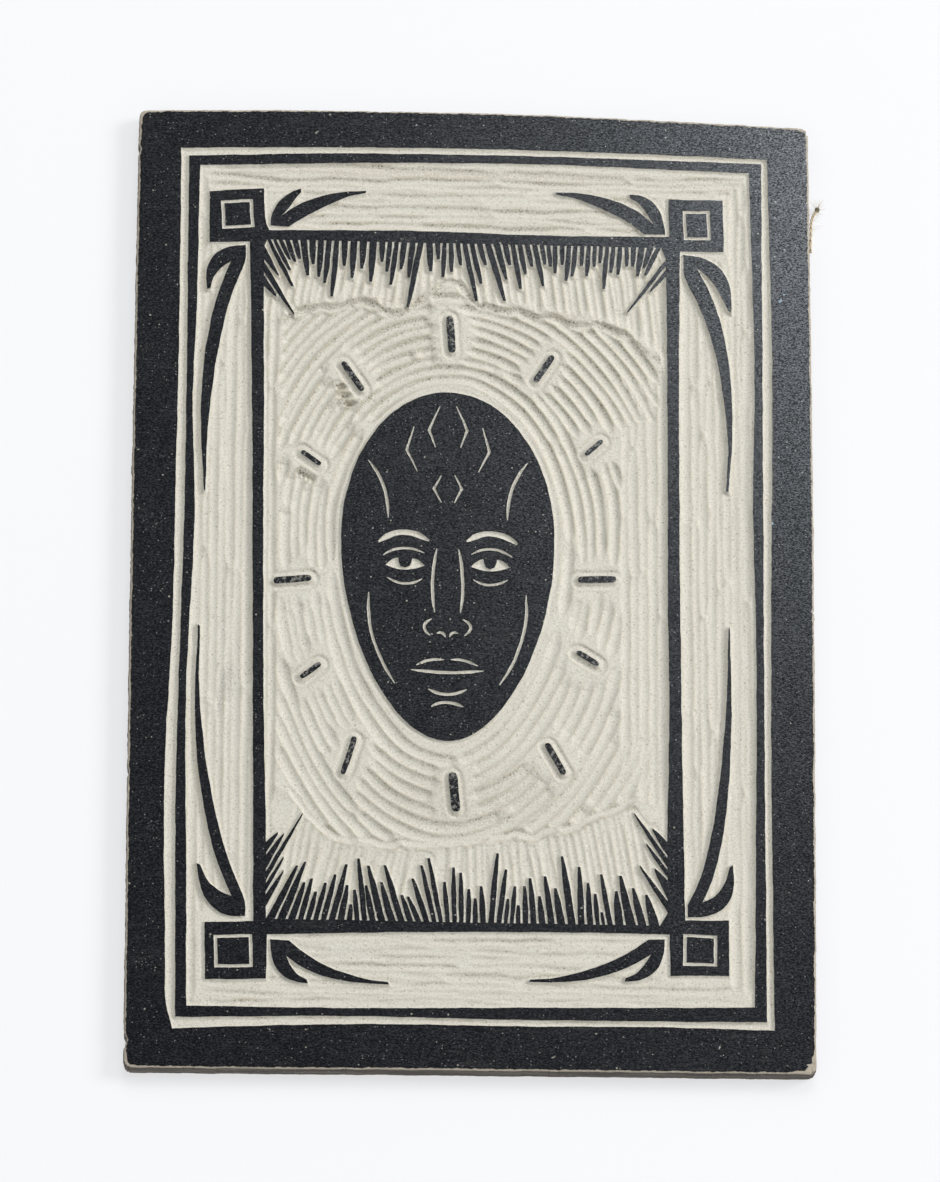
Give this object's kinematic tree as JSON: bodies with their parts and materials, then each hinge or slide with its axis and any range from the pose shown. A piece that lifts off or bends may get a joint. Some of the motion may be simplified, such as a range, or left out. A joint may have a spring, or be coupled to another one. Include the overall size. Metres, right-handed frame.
{
  "type": "carved linoleum printing plate",
  "caption": "Rectangular carved linoleum relief printing plate with inked raised areas, cut-away fields and a woven jute backing.",
  "frame": {"origin": "middle of the back face of the plate, on the woven backing", "axes": "+X to the right across the picture, +Y up the picture along the plate's length, +Z out of the printing face"},
  "size_m": [0.1041, 0.154, 0.0032],
  "materials": {
    "linoleum": "cut linoleum, matte, finely granular",
    "printing_ink": "dried black block-printing ink, satin",
    "jute": "coarse woven jute"
  },
  "bodies": {
    "root": {"lino_sheet": "linoleum", "hessian_backing": "jute", "frayed_jute_yarn": "jute", "ink_outer_border": "printing_ink", "ink_rule_frame": "printing_ink", "ink_inner_frame": "printing_ink", "ink_square_bottom_left": "printing_ink", "ink_square_bottom_right": "printing_ink", "ink_square_top_right": "printing_ink", "ink_square_top_left": "printing_ink", "ink_leaves_top_left_across": "printing_ink", "ink_leaves_top_left_down": "printing_ink", "ink_leaves_top_right_across": "printing_ink", "ink_leaves_top_right_down": "printing_ink", "ink_leaves_bottom_left_up": "printing_ink", "ink_leaves_bottom_left_across": "printing_ink", "ink_leaves_bottom_right_up": "printing_ink", "ink_leaves_bottom_right_across": "printing_ink", "ink_hour_mark_01": "printing_ink", "ink_hour_mark_02": "printing_ink", "ink_hour_mark_03": "printing_ink", "ink_hour_mark_04": "printing_ink", "ink_hour_mark_05": "printing_ink", "ink_hour_mark_06": "printing_ink", "ink_hour_mark_07": "printing_ink", "ink_hour_mark_08": "printing_ink", "ink_hour_mark_09": "printing_ink", "ink_hour_mark_10": "printing_ink", "ink_hour_mark_11": "printing_ink", "ink_hour_mark_12": "printing_ink", "ink_head": "printing_ink"}
  },
  "joints": []
}
